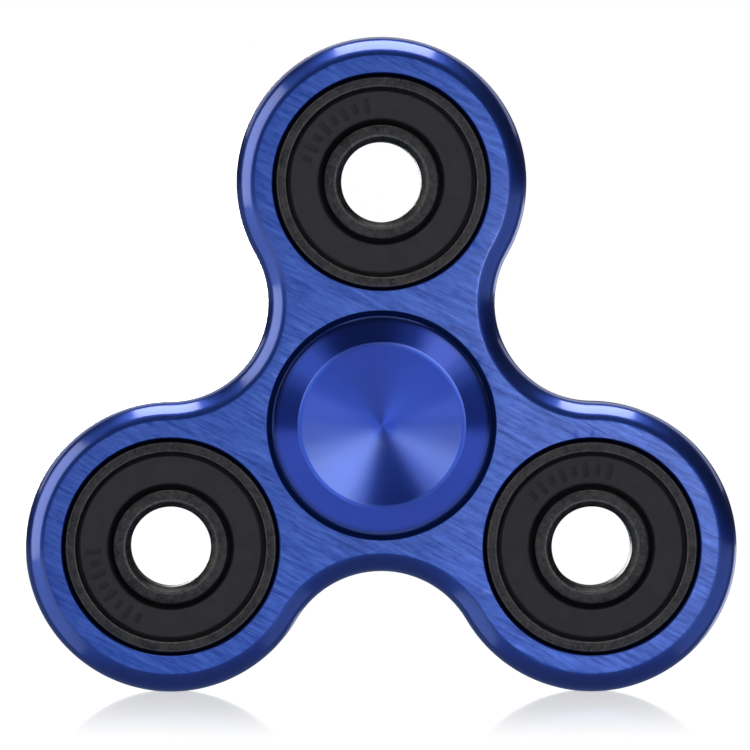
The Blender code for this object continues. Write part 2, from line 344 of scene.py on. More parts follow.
def set_shader(tree, shader, **values):
    """Sets or links sockets, named with underscores for spaces."""
    for key, value in values.items():
        socket = shader.inputs[key.replace("_", " ")]
        if isinstance(value, bpy.types.NodeSocket):
            tree.links.new(value, socket)
        else:
            socket.default_value = value


def radius_of(tree, position):
    flat = add(tree, "ShaderNodeVectorMath", {0: position, 1: (1.0, 1.0, 0.0)}, operation="MULTIPLY")
    return add(tree, "ShaderNodeVectorMath", {0: flat.outputs[0]}, operation="LENGTH").outputs["Value"]


def height_of(tree, position):
    return add(tree, "ShaderNodeSeparateXYZ", {0: position}).outputs["Z"]


def ring_lines(tree, radius, height, scale, detail=2.0):
    """Noise that changes only across a turned piece's tool marks."""
    along = math_node(tree, "ADD", radius, math_node(tree, "MULTIPLY", height, 0.7))
    vector = add(tree, "ShaderNodeCombineXYZ", {"X": along})
    return noise(tree, vector.outputs[0], scale, detail, 0.55)


def turned_tangent(tree, shader, anisotropy):
    tangent = add(tree, "ShaderNodeTangent", direction_type="RADIAL", axis="Z")
    set_shader(tree, shader, Tangent=tangent.outputs[0], Anisotropic=anisotropy,
               Anisotropic_Rotation=0.25)


ANODISED_COAT = {"Coat_Weight": 1.0, "Coat_Roughness": 0.12, "Coat_IOR": 1.8}


def brushed_blue():
    """Brushed, anodised aluminium: straight lines of four sizes across the whole face."""
    material, tree, shader = new_material("blue_brushed")
    position = object_position(tree)
    turn = (0.0, BRUSH_ANGLE, 0.0)
    fine = noise(tree, stretched(tree, position, turn, (0.16, 1.0, 2.1)), 1.0, 4.0, 0.55)
    broad = noise(tree, stretched(tree, position, turn, (0.05, 1.0, 0.7)), 1.0, 2.0, 0.5)
    short = noise(tree, stretched(tree, position, turn, (0.8, 1.0, 2.8)), 1.0, 3.0, 0.6)
    hair = noise(tree, stretched(tree, position, turn, (0.3, 1.0, 5.0)), 1.0, 2.0, 0.5)
    scratch = ramp(tree, hair, 0.58, 0.72)
    streak = math_node(tree, "ADD", math_node(tree, "MULTIPLY", fine, 0.54),
                       math_node(tree, "MULTIPLY", broad, 0.14))
    streak = math_node(tree, "ADD", streak, math_node(tree, "MULTIPLY", short, 0.32))
    tone = ramp(tree, streak, 0.37, 0.63)
    base = mix_colour(tree, tone, colour(0.014, 0.064, 0.400), colour(0.070, 0.168, 0.640))
    base = mix_colour(tree, math_node(tree, "MULTIPLY", scratch, 0.4), base, colour(0.16, 0.27, 0.72))
    grain = ramp(tree, fine, 0.3, 0.7, 0.46, 0.36)
    relief = math_node(tree, "SUBTRACT", streak, math_node(tree, "MULTIPLY", scratch, 0.3))
    direction = (math.sin(-BRUSH_ANGLE), 0.0, math.cos(BRUSH_ANGLE))
    across = add(tree, "ShaderNodeVectorTransform", {"Vector": direction}, vector_type="VECTOR",
                 convert_from="OBJECT", convert_to="WORLD")
    set_shader(tree, shader, Base_Color=base, Metallic=1.0, Roughness=grain, Anisotropic=0.6,
               Tangent=across.outputs[0], Normal=bump(tree, relief, 0.014, 0.5),
               Coat_Weight=0.5, Coat_Roughness=0.25, Coat_IOR=1.5)
    return material


def polished_blue():
    """The rounded edges and sides: polished, then anodised."""
    material, tree, shader = new_material("blue_polished")
    position = object_position(tree)
    cloud = noise(tree, position, 0.35, 3.0)
    fine = noise(tree, stretched(tree, position, (0, 0, 0), (2.0, 3.0, 2.0)), 1.0, 3.0)
    base = mix_colour(tree, ramp(tree, cloud, 0.3, 0.7), colour(0.024, 0.062, 0.350),
                      colour(0.030, 0.074, 0.400))
    grain = ramp(tree, fine, 0.3, 0.7, 0.31, 0.35)
    set_shader(tree, shader, Base_Color=base, Metallic=1.0, Roughness=grain,
               Normal=bump(tree, fine, 0.0015, 0.3), **ANODISED_COAT)
    return material


def bored_blue():
    """The bearing seats and their broken edges: fine turned lines round the bore, with a faint painted glow.
    """
    material, tree, shader = new_material("blue_bored")
    position = object_position(tree)
    lines = noise(tree, stretched(tree, position, (0, 0, 0), (0.25, 14.0, 0.25)), 1.0, 3.0)
    base = mix_colour(tree, lines, colour(0.008, 0.022, 0.120), colour(0.018, 0.042, 0.200))
    # the emission is a painted glow: light painted into the deep seats, which are no lamp
    set_shader(tree, shader, Base_Color=base, Metallic=1.0, Roughness=ramp(tree, lines, 0.3, 0.7, 0.28, 0.4),
               Normal=bump(tree, lines, 0.006, 0.5), Coat_Weight=0.1, Coat_Roughness=0.3, Coat_IOR=1.5,
               Emission_Color=colour(0.03, 0.12, 0.8), Emission_Strength=0.03)
    return material


def cap_blue():
    """The caps: turned, anodised aluminium with fine rings."""
    material, tree, shader = new_material("blue_turned")
    position = object_position(tree)
    radius = radius_of(tree, position)
    height = height_of(tree, position)
    rings = ring_lines(tree, radius, height, 9.0, 4.0)
    cloud = noise(tree, position, 0.3, 3.0)
    base = mix_colour(tree, ramp(tree, rings, 0.35, 0.65), colour(0.028, 0.058, 0.365),
                      colour(0.032, 0.064, 0.395))
    base = mix_colour(tree, ramp(tree, cloud, 0.35, 0.75, 0.0, 0.35), base, colour(0.022, 0.048, 0.320))
    # a lighter line painted along the rim: a painted highlight, with some wear
    rim_wear_and_highlight = near_line(tree, radius, 0.5 * (DISH_RADIUS + RIM_RADIUS), 0.08, 0.2)
    rim_wear_and_highlight = math_node(tree, "MULTIPLY", rim_wear_and_highlight, ramp(tree, cloud, 0.3, 0.6, 0.5, 1.0))
    base = mix_colour(tree, math_node(tree, "MULTIPLY", rim_wear_and_highlight, 0.15), base, colour(0.12, 0.2, 0.62))
    # painted shade: the cap goes near black towards its rounded outer edge, by the gap round it
    edge_shade = ramp(tree, radius, CAP_RADIUS - 0.75, CAP_RADIUS - 0.05, 0.0, 0.85)
    base = mix_colour(tree, edge_shade, base, colour(0.004, 0.010, 0.050))
    grain = ramp(tree, rings, 0.3, 0.7, 0.27, 0.31)
    set_shader(tree, shader, Base_Color=base, Metallic=1.0, Roughness=grain,
               Normal=bump(tree, rings, 0.001, 0.12), Coat_Weight=1.0, Coat_Roughness=0.12,
               Coat_IOR=1.5)
    turned_tangent(tree, shader, 0.93)
    return material


WORN_LINES = (      # (radius, half width) of the corners that wear bright, mm
    (BORE_RADIUS + BORE_CHAMFER + 0.12, 0.16),
    (SEAL_STEP_RADIUS + 0.06, 0.10),
    (BEARING_RADIUS - OUTER_CHAMFER - 0.05, 0.10),
)
SHADED_HEIGHTS = (3.2, 3.44)        # the steel between the rings is painted with shade below these, mm


def ring_steel():
    """Black-oxide bearing steel, ground bright along its corners by wear, with painted shade in its gaps."""
    material, tree, shader = new_material("black_steel")
    position = object_position(tree)
    radius = radius_of(tree, position)
    height = height_of(tree, position)
    rings = ring_lines(tree, radius, height, 9.0)
    mottle = noise(tree, position, 1.3, 5.0, 0.65)
    speck = noise(tree, position, 5.0, 3.0, 0.6)
    rust = noise(tree, stretched(tree, position, (0.3, 0.2, 0.5), (0.9, 0.9, 0.9)), 1.0, 4.0, 0.6)
    base = mix_colour(tree, ramp(tree, mottle, 0.38, 0.66), colour(0.020, 0.020, 0.0223),
                      colour(0.060, 0.0565, 0.0572))
    base = mix_colour(tree, ramp(tree, rust, 0.48, 0.68, 0.0, 0.45), base, colour(0.068, 0.051, 0.041))
    base = mix_colour(tree, ramp(tree, speck, 0.55, 0.72, 0.0, 0.6), base, colour(0.110, 0.104, 0.098))
    wear = 0.0
    for line, width in WORN_LINES:
        wear = math_node(tree, "ADD", wear, near_line(tree, radius, line, width * 0.3, width))
    wear = math_node(tree, "MULTIPLY", wear, ramp(tree, speck, 0.32, 0.6, 0.2, 1.0))
    base = mix_colour(tree, math_node(tree, "MULTIPLY", wear, 0.42, True), base,
                      colour(0.20, 0.19, 0.185))
    # painted shade: the outer chamfer and the ring's outside go bluish near-black, as in the shaded gap by
    # the frame's seat
    chamfer = BEARING_RADIUS - OUTER_CHAMFER
    edge = ramp(tree, radius, chamfer + 0.02, chamfer + 0.1)
    base = mix_colour(tree, math_node(tree, "MULTIPLY", edge, 0.9), base, colour(0.002, 0.006, 0.026))
    # painted shade: the steel between the two rings, inside the seals, goes near black below the shaded
    # heights
    past_neck = ramp(tree, radius, INNER_NECK - 0.10, INNER_NECK - 0.02)
    before_shoulder = ramp(tree, radius, OUTER_SHOULDER, OUTER_SHOULDER + 0.1, 1.0, 0.0)
    inside = math_node(tree, "MULTIPLY", past_neck, before_shoulder)
    low = ramp(tree, math_node(tree, "ABSOLUTE", height), *SHADED_HEIGHTS, 1.0, 0.0)
    base = mix_colour(tree, math_node(tree, "MULTIPLY", inside, low), base, colour(0.0015, 0.0015, 0.0017))
    grain = ramp(tree, mottle, 0.3, 0.7, 0.36, 0.52)
    relief = math_node(tree, "ADD", rings, math_node(tree, "MULTIPLY", speck, 0.6))
    set_shader(tree, shader, Base_Color=base, Metallic=0.85, Roughness=grain,
               Normal=bump(tree, relief, 0.005, 0.6), Specular_IOR_Level=0.5)
    return material


def seal_rubber():
    """Moulded nitrile rubber: matt, a fine grain, a little dust, painted shade along both borders."""
    material, tree, shader = new_material("black_rubber")
    position = object_position(tree)
    radius = radius_of(tree, position)
    height = height_of(tree, position)
    grain = noise(tree, position, 14.0, 3.0, 0.6)
    cloud = noise(tree, position, 0.8, 4.0, 0.6)
    rings = ring_lines(tree, radius, height, 2.2)
    base = mix_colour(tree, ramp(tree, cloud, 0.35, 0.7), colour(0.0124, 0.0104, 0.0136),
                      colour(0.0200, 0.0170, 0.0212))
    dust = ramp(tree, grain, 0.62, 0.76, 0.0, 0.25)
    base = mix_colour(tree, dust, base, colour(0.05, 0.05, 0.052))
    raised = ramp(tree, height, SEAL_FACE + 0.02, SEAL_FACE + MARK_HEIGHT, 0.0, 0.8)
    base = mix_colour(tree, raised, base, colour(0.006, 0.006, 0.007))
    # painted shade: the seal goes near black at its inner border and along the groove by the outer ring
    inside = ramp(tree, radius, SEAL_INNER_RADIUS - 0.02, SEAL_INNER_RADIUS + 0.26, 1.0, 0.0, True)
    outside = ramp(tree, radius, SEAL_GROOVE_RADIUS - 0.10, SEAL_GROOVE_RADIUS)
    gap_shade = math_node(tree, "ADD", inside, math_node(tree, "MULTIPLY", outside, 0.85), True)
    base = mix_colour(tree, gap_shade, base, colour(0.0008, 0.0008, 0.0010))
    rough = ramp(tree, cloud, 0.3, 0.7, 0.5, 0.62)
    rough = ramp(tree, gap_shade, 0.0, 1.0, rough, 1.0)
    relief = math_node(tree, "ADD", grain, math_node(tree, "MULTIPLY", rings, 0.5))
    set_shader(tree, shader, Base_Color=base, Metallic=0.0, Roughness=rough,
               Normal=bump(tree, relief, 0.010, 0.5), Specular_IOR_Level=0.33)
    return material


def cage_steel():
    """Stamped sheet steel, tumbled and oiled."""
    material, tree, shader = new_material("stamped_steel")
    position = object_position(tree)
    cloud = noise(tree, position, 1.4, 4.0, 0.6)
    fine = noise(tree, position, 9.0, 3.0, 0.6)
    base = mix_colour(tree, ramp(tree, cloud, 0.3, 0.7), colour(0.42, 0.40, 0.36),
                      colour(0.60, 0.585, 0.55))
    set_shader(tree, shader, Base_Color=base, Metallic=1.0, Roughness=ramp(tree, fine, 0.3, 0.7, 0.26, 0.42),
               Normal=bump(tree, fine, 0.008, 0.4))
    return material


def ball_steel():
    """Lapped chrome steel with faint lapping swirls."""
    material, tree, shader = new_material("polished_steel")
    position = object_position(tree)
    swirl = noise(tree, position, 3.0, 5.0, 0.7)
    base = mix_colour(tree, swirl, colour(0.68, 0.68, 0.70), colour(0.78, 0.78, 0.79))
    set_shader(tree, shader, Base_Color=base, Metallic=1.0, Roughness=ramp(tree, swirl, 0.3, 0.7, 0.05, 0.12),
               Normal=bump(tree, swirl, 0.001, 0.2))
    return material


# ---------------------------------------------------------------- frame


def outline(inset, pitch):
    """The outline moved in by an inset, counter-clockwise in the (x, z) plane, in millimetres.

    Each lobe's arc runs on into the hollow arc of a waist, whose centre is where the two just touch.
    """
    reach = LOBE_RADIUS + WAIST_RADIUS
    waist_pitch = (pitch + math.sqrt(pitch ** 2 - 4 * (pitch ** 2 - reach ** 2))) / 2
    half_turn = math.pi / LOBE_COUNT
    lean = math.asin((pitch - waist_pitch * math.cos(half_turn)) / reach)
    lobe_span = math.pi / 2 + lean
    waist_span = lobe_span - half_turn
    points = []
    for index in range(LOBE_COUNT):
        out = math.pi / 2 + math.tau * index / LOBE_COUNT
        points += arc(pitch * math.cos(out), pitch * math.sin(out), LOBE_RADIUS - inset,
                      out - lobe_span, out + lobe_span, LOBE_STEPS)
        waist = out + half_turn
        inward = waist + math.pi
        hollow = arc(waist_pitch * math.cos(waist), waist_pitch * math.sin(waist),
                     WAIST_RADIUS + inset, inward + waist_span, inward - waist_span, WAIST_STEPS)
        points += hollow[1:-1]
    return points


def ring_of(shape, points, depth):
    return [shape.verts.new((x * MM, depth * MM, z * MM)) for x, z in points]


def band(shape, first, second, material):
    """A smooth strip of quads between two closed rings of points."""
    count = len(first)
    for step in range(count):
        following = (step + 1) % count
        face = shape.faces.new((first[step], first[following], second[following], second[step]))
        face.smooth = True
        face.material_index = material


def edge_sections(half):
    """(inset, depth) from the front face round to the back face, in millimetres."""
    front = []
    for step in range(EDGE_STEPS + 1):
        angle = math.pi / 2 * step / EDGE_STEPS
        inset = EDGE_RADIUS * (1 - math.sin(angle))
        depth = half - EDGE_RADIUS * (1 - math.cos(angle))
        front.append((inset, -depth))
    back = [(inset, -depth) for inset, depth in reversed(front)]
    return front + back


def seat_sections(half, edge_break):
    """(widening, depth) of a seat from the front face to the back face, its edges broken and eased."""
    ease = edge_break * 0.22
    front = [
        (edge_break + ease, -half),
        (edge_break + ease * 0.35, -half + ease * 0.12),
        (edge_break - ease * 0.4, -half + ease * 0.6),
        (ease * 0.6, -half + edge_break - ease * 0.4),
        (ease * 0.12, -half + edge_break + ease * 0.35),
        (0.0, -half + edge_break + ease),
    ]
    back = [(widening, -depth) for widening, depth in reversed(front)]
    return front + back


def circle(centre, radius, steps):
    """Points round a centre in the (x, z) plane, in millimetres."""
    points = []
    for step in range(steps):
        angle = math.tau * step / steps
        points.append((centre.x / MM + radius * math.cos(angle), centre.z / MM + radius * math.sin(angle)))
    return points


def fill_face(shape, loops, material):
    """Fills the flat face between an outline and its holes."""
    edges = []
    for loop in loops:
        for first, second in zip(loop, loop[1:] + loop[:1]):
            edges.append(shape.edges.get((first, second)))
    filled = bmesh.ops.triangle_fill(shape, use_beauty=True, use_dissolve=False, edges=edges)
    for element in filled["geom"]:
        if isinstance(element, bmesh.types.BMFace):
            element.material_index = material
            element.smooth = True


BRUSHED, POLISHED, BORED = range(3)     # the frame's material slots


def frame_mesh(centres):
    """The plate round the given bearing centres."""
    low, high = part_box("spinner_frame")
    half = (high.y - low.y) / 2 / MM
    pitch = max(centre.length for centre in centres.values()) / MM
    shape = bmesh.new()
    rings = []
    for inset, depth in edge_sections(half):
        rings.append(ring_of(shape, outline(inset, pitch), depth))
    for index, (first, second) in enumerate(zip(rings, rings[1:])):
        brushed = index < BRUSHED_EDGE_BANDS or index >= len(rings) - 1 - BRUSHED_EDGE_BANDS
        band(shape, first, second, BRUSHED if brushed else POLISHED)
    fronts = [rings[0]]
    backs = [rings[-1]]
    for name, centre in centres.items():
        edge_break = CENTRE_COUNTERSINK if name == "center" else LOBE_EDGE_BREAK
        seat = []
        for widening, depth in seat_sections(half, edge_break):
            points = circle(centre, BEARING_RADIUS + widening, SEAT_STEPS)
            seat.append(ring_of(shape, points, depth))
        for first, second in zip(seat, seat[1:]):
            band(shape, first, second, BORED)
        fronts.append(seat[0])
        backs.append(seat[-1])
    fill_face(shape, fronts, BRUSHED)
    fill_face(shape, backs, BRUSHED)
    bmesh.ops.recalc_face_normals(shape, faces=shape.faces)
    return mesh_from(shape, "frame_plate")


# ---------------------------------------------------------------- bearing


def mirrored(side):
    return [(radius, -height, corner) for radius, height, corner in reversed(side)]


def outer_ring_profile():
    step = BEARING_HALF_WIDTH - SEAL_STEP_DEPTH
    span = math.acos((OUTER_SHOULDER - BALL_PITCH_RADIUS) / RACE_RADIUS)
    race = arc(BALL_PITCH_RADIUS, 0.0, RACE_RADIUS, -span, span, RACE_STEPS)
    side = [
        (OUTER_SHOULDER, step, 0.06),
        (SEAL_STEP_RADIUS, step, 0.06),
        (SEAL_STEP_RADIUS, BEARING_HALF_WIDTH, 0.08),
        (BEARING_RADIUS - OUTER_CHAMFER, BEARING_HALF_WIDTH, 0.07),
        (BEARING_RADIUS, BEARING_HALF_WIDTH - OUTER_CHAMFER, 0.07),
    ]
    return race + side + mirrored(side)


def inner_ring_profile():
    span = math.acos((BALL_PITCH_RADIUS - INNER_SHOULDER) / RACE_RADIUS)
    race = arc(BALL_PITCH_RADIUS, 0.0, RACE_RADIUS, math.pi + span, math.pi - span, RACE_STEPS)
    side = [
        (INNER_SHOULDER, INNER_SHOULDER_HALF_WIDTH, 0.06),
        (INNER_NECK, INNER_SHOULDER_HALF_WIDTH, 0.06),
        (INNER_NECK, BEARING_HALF_WIDTH, 0.20),
        (BORE_RADIUS + BORE_CHAMFER, BEARING_HALF_WIDTH, 0.10),
        (BORE_RADIUS, BEARING_HALF_WIDTH - BORE_CHAMFER, 0.14),
    ]
    return race + side + mirrored(side)


def seal_profile():
    return [
        (SEAL_INNER_RADIUS + SEAL_BEVEL, SEAL_FACE, 0.14),
        (SEAL_GROOVE_RADIUS - SEAL_BEVEL, SEAL_FACE, 0.10),
        (SEAL_GROOVE_RADIUS, SEAL_RIM, 0.06),
        (SEAL_OUTER_RADIUS, SEAL_RIM, 0.06),
        (SEAL_OUTER_RADIUS, SEAL_BACK, 0.06),
        (SEAL_LIP_RADIUS, SEAL_BACK, 0.05),
        (SEAL_LIP_RADIUS, SEAL_LIP, 0.05),
        (SEAL_INNER_RADIUS, SEAL_LIP, 0.04),
        (SEAL_INNER_RADIUS, SEAL_FACE - SEAL_BEVEL, 0.10),
    ]


def mark_mesh():
    """Plain raised dashes in a short arc, each a softened block that starts inside the seal."""
    shape = bmesh.new()
    for index in range(MARK_COUNT):
        angle = MARK_PITCH * (index - (MARK_COUNT - 1) / 2)
        made = bmesh.ops.create_cube(shape, size=1.0)
        width = MARK_WIDTHS[index % len(MARK_WIDTHS)]
        size = Matrix.Diagonal((width * MM, MARK_LENGTH * MM, (MARK_HEIGHT + MARK_SINK) * MM, 1.0))
        middle = SEAL_FACE + (MARK_HEIGHT - MARK_SINK) / 2
        move = Matrix.Translation((MARK_RADIUS * MM, 0.0, middle * MM))
        placed = Matrix.Rotation(angle, 4, "Z") @ move @ size
        bmesh.ops.transform(shape, matrix=placed, verts=made["verts"])
    bmesh.ops.bevel(shape, geom=list(shape.edges), offset=MARK_EASE * MM, segments=MARK_STEPS,
                    affect="EDGES", profile=0.5)
    return mesh_from(shape, "seal_marks")


def marked_seal_mesh():
    """The seal with its marks joined on by a boolean, as one closed mesh."""
    plain = turned_mesh("seal_plain", seal_profile(), BEARING_STEPS)
    base = bpy.data.objects.new("seal_base", plain)
    marks = bpy.data.objects.new("seal_marks", mark_mesh())
    for scratch in (base, marks):
        bpy.context.scene.collection.objects.link(scratch)
    union = base.modifiers.new("Marks", "BOOLEAN")
    union.operation = "UNION"
    union.object = marks
    union.solver = "EXACT"
    evaluated = base.evaluated_get(bpy.context.evaluated_depsgraph_get())
    mesh = bpy.data.meshes.new_from_object(evaluated)
    mesh.name = "seal"
    for scratch in (base, marks):
        data = scratch.data
        bpy.data.objects.remove(scratch, do_unlink=True)
        bpy.data.meshes.remove(data)
    mesh.shade_smooth()
    mesh.set_sharp_from_angle(angle=SHARP_ANGLE)
    return mesh


def cage_section():
    """(distance along the pitch circle, height) of the sheet's middle over one ball, in millimetres."""
    reach = math.sqrt(POCKET_RADIUS ** 2 - CAGE_LAND ** 2)
    lift = math.asin(CAGE_LAND / POCKET_RADIUS)
    pocket = arc(0.0, 0.0, POCKET_RADIUS, math.pi - lift, lift, POCKET_STEPS)
    pitch = math.tau * BALL_PITCH_RADIUS / BALL_COUNT
    land = []
    for step in range(1, LAND_STEPS):
        land.append((reach + (pitch - 2 * reach) * step / LAND_STEPS, CAGE_LAND))
    return pocket + land


def cage_mesh():
    """One stamped half: a wavy ring that arches over each ball."""
    shape = bmesh.new()
    rings = []
    for row in range(CAGE_WIDTH_STEPS + 1):
        radius = CAGE_INNER_RADIUS + (CAGE_OUTER_RADIUS - CAGE_INNER_RADIUS) * row / CAGE_WIDTH_STEPS
        ring = []
        for ball in range(BALL_COUNT):
            for along, height in cage_section():
                angle = math.tau * ball / BALL_COUNT + along / BALL_PITCH_RADIUS
                x = radius * math.cos(angle) * MM
                y = radius * math.sin(angle) * MM
                ring.append(shape.verts.new((x, y, height * MM)))
        rings.append(ring)
    for first, second in zip(rings, rings[1:]):
        band(shape, first, second, 0)
    bmesh.ops.recalc_face_normals(shape, faces=shape.faces)
    return mesh_from(shape, "cage_half")


def cage_object(name, mesh, materials):
    """A cage half whose sheet gets its thickness and soft edges from modifiers."""
    piece = new_object(name, mesh, materials)
    sheet = piece.modifiers.new("Sheet", "SOLIDIFY")
    sheet.thickness = CAGE_THICKNESS * MM
    sheet.offset = 0.0
    sheet.use_even_offset = True
    eased = piece.modifiers.new("Eased edges", "BEVEL")
    eased.width = CAGE_EASE * MM
    eased.segments = 2
    eased.limit_method = "ANGLE"
    eased.angle_limit = math.radians(50)
    piece.modifiers.move(0, len(piece.modifiers) - 1)
    return piece


def ball_mesh():
    """A ball with evenly spread faces: a finely divided cube blown up to a sphere."""
    shape = bmesh.new()
    bmesh.ops.create_cube(shape, size=1.0)
    bmesh.ops.subdivide_edges(shape, edges=list(shape.edges), cuts=BALL_CUTS, use_grid_fill=True)
    for vertex in shape.verts:
        vertex.co = vertex.co.normalized() * BALL_RADIUS * MM
    for face in shape.faces:
        face.smooth = True
    return mesh_from(shape, "ball")


# ---------------------------------------------------------------- caps


def cap_outside():
    """The profile that both caps share, from the middle of the dish to the end of the boss."""
    sphere = (DISH_RADIUS ** 2 + DISH_DEPTH ** 2) / (2 * DISH_DEPTH)
    span = math.asin(DISH_RADIUS / sphere)
    down = -math.pi / 2
    dish = arc(0.0, CAP_TOP - DISH_DEPTH + sphere, sphere, down, down + span, DISH_STEPS)
    drop = (SHOULDER_RADIUS - RIM_RADIUS) * math.tan(SHOULDER_SLOPE)
    edge_radius = (CAP_RADIUS - SHOULDER_RADIUS) / (1 - math.sin(SHOULDER_SLOPE))
    edge_height = CAP_TOP - drop - edge_radius * math.cos(SHOULDER_SLOPE)
    edge = arc(CAP_RADIUS - edge_radius, edge_height, edge_radius, math.pi / 2 - SHOULDER_SLOPE, 0.0,
               CAP_EDGE_STEPS)
    return [
        (0.0, dish[0][1]),
        *dish[1:-1],
        (*dish[-1], 0.06),
        (RIM_RADIUS, CAP_TOP, 0.08),
        *edge,
        (CAP_RADIUS, CAP_UNDERSIDE + CAP_UNDERSIDE_BREAK, 0.05),
        (CAP_RADIUS - CAP_UNDERSIDE_BREAK, CAP_UNDERSIDE, 0.05),
        (SPACER_RADIUS, CAP_UNDERSIDE, 0.1),
        (SPACER_RADIUS, SPACER_FACE, 0.08),
        (BOSS_RADIUS, SPACER_FACE, 0.1),
        (BOSS_RADIUS, BOSS_END, 0.15),
    ]


def front_cap_profile():
    return cap_outside() + [
        (SOCKET_RADIUS, BOSS_END, 0.1),
        (SOCKET_RADIUS, SOCKET_FLOOR, 0.08),
        (0.0, SOCKET_FLOOR),
    ]


def back_cap_profile():
    return cap_outside() + [
        (STUD_RADIUS, BOSS_END, 0.1),
        (STUD_RADIUS, STUD_END, 0.25),
        (0.0, STUD_END),
    ]


# ---------------------------------------------------------------- assembly


BODY_OF_NODE = {}
for body, members in frame["record"]["behaviour"]["bodies"].items():
    for member in members:
        BODY_OF_NODE[member] = body


def middle_of(node):
    low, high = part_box(node)
    return (low + high) / 2


def finish_piece(piece, node):
    """Ties a piece to its node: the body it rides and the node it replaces."""
    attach(piece, BODY_OF_NODE[node])
    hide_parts(node)
    return piece


def build_bearing(name, spin, mark_turn, meshes, materials):
    """The 13 pieces of one bearing."""
    prefix = name + "_bearing_"
    centre = middle_of(prefix + "outer_ring")
    made = []
    for index, part in enumerate(("outer_ring", "inner_ring")):
        piece = new_object(name + "_" + part, meshes[part], [materials["ring"]])
        piece.matrix_world = facing(centre, "front", spin + index)
        made.append(finish_piece(piece, prefix + part))
    for side in ("front", "back"):
        piece = new_object(name + "_seal_" + side, meshes["seal"], [materials["seal"]])
        piece.matrix_world = facing(centre, side, mark_turn)
        made.append(finish_piece(piece, prefix + "seal_" + side))
        piece = cage_object(name + "_cage_" + side, meshes["cage"], [materials["cage"]])
        piece.matrix_world = facing(centre, side)
        made.append(finish_piece(piece, prefix + "cage_" + side))
    for index in range(BALL_COUNT):
        node = f"{prefix}ball_{index + 1}"
        piece = new_object(f"{name}_ball_{index + 1}", meshes["ball"], [materials["ball"]])
        piece.matrix_world = facing(middle_of(node), "front", spin * (index + 1))
        made.append(finish_piece(piece, node))
    return made


BEARING_TURNS = {        # how far round each bearing's rings and its seal marks are turned, radians
    "center": (0.4, 0.0),
    "top": (1.3, math.radians(132)),
    "left": (2.9, math.radians(214)),
    "right": (4.6, math.radians(108)),
}


def build_spinner():
    """All the pieces, as the frame with its bearings and as the caps, which are lit apart."""
    materials = {"ring": ring_steel(), "seal": seal_rubber(), "cage": cage_steel(), "ball": ball_steel()}
    meshes = {
        "outer_ring": turned_mesh("outer_ring", outer_ring_profile(), BEARING_STEPS),
        "inner_ring": turned_mesh("inner_ring", inner_ring_profile(), BEARING_STEPS),
        "seal": marked_seal_mesh(),
        "cage": cage_mesh(),
        "ball": ball_mesh(),
    }
    centres = {name: middle_of(name + "_bearing_outer_ring") for name in BEARING_TURNS}
    finishes = [brushed_blue(), polished_blue(), bored_blue()]
    plate = new_object("frame_plate", frame_mesh(centres), finishes)
    frame_group = [finish_piece(plate, "spinner_frame")]
    for name, (spin, mark_turn) in BEARING_TURNS.items():
        frame_group += build_bearing(name, spin, mark_turn, meshes, materials)
    cap_group = []
    turned = cap_blue()
    for side, profile in (("front", front_cap_profile()), ("back", back_cap_profile())):
        mesh = turned_mesh("cap_" + side, profile, CAP_STEPS, closed=False)
        piece = new_object("cap_" + side, mesh, [turned])
        piece.matrix_world = facing(centres["center"], side)
        cap_group.append(finish_piece(piece, side + "_cap"))
    return frame_group, cap_group


# ---------------------------------------------------------------- studio


CAMERA_DISTANCE = 1.0
CAMERA_LENS = 475.0
CAMERA_RISE = math.radians(0.8)         # above the spin axis
CAMERA_SWING = math.radians(-0.8)       # to the left of it
CAMERA_TARGET = Vector((-0.000664, -0.004, 0.005098))

WHITE = (1.0, 1.0, 1.0)
WARM = (0.86, 1.0, 0.73)
COOL = (0.62, 0.80, 1.0)
BLUE = (0.40, 0.60, 1.0)
PALE = (0.76, 0.86, 1.0)
# The lights of the caps, each a set of nested spans: (clock from, clock to, radiance, tint).
CAP_RIGHT = ((33, 50, 0.75, PALE), (28, 57, 0.65, PALE), (24, 65, 0.5, BLUE))
CAP_LEFT = ((-58, -42, 0.55, BLUE), (-64, -37, 0.4, BLUE), (-69, -33, 0.3, BLUE))
DISH_RIGHT = ((28, 66, 1.3, WARM), (23, 78, 1.4, WARM), (17, 96, 1.1, COOL), (13, 118, 0.8, COOL))
DISH_LEFT = ((-70, -50, 0.9, WARM), (-78, -44, 1.0, WARM), (-94, -34, 1.0, COOL),
             (-116, -30, 0.8, COOL))
CAP_LOW_HEIGHT = -0.25      # a wide panel under the caps, m
CAP_LOW_REACH = 3.0
CAP_LOW_BACK = 0.1
CAP_LOW_TILT = math.radians(4)

ROOM_BELOW = (0.115, 0.16, 0.265)       # what the object mirrors below the horizon
ROOM_ABOVE = (0.032, 0.038, 0.058)
TENT_RADIUS = 8.0
TENT_GLOW = 1.3
FLOOR_SIZE = 12.0
FLOOR_GLOW = 0.82           # how much of the floor's white is its own light
FLOOR_GLOSS = 0.33
FLOOR_GLOSS_START = 0.020   # where the gloss starts to fade, m from the object's foot
FLOOR_GLOSS_END = 0.112


def direction(clock, tilt):
    """A direction from the object: clock round the view axis from straight up, tilt off the view axis."""
    clock = math.radians(clock)
    tilt = math.radians(tilt)
    return Vector((math.sin(tilt) * math.sin(clock), -math.cos(tilt), math.sin(tilt) * math.cos(clock)))


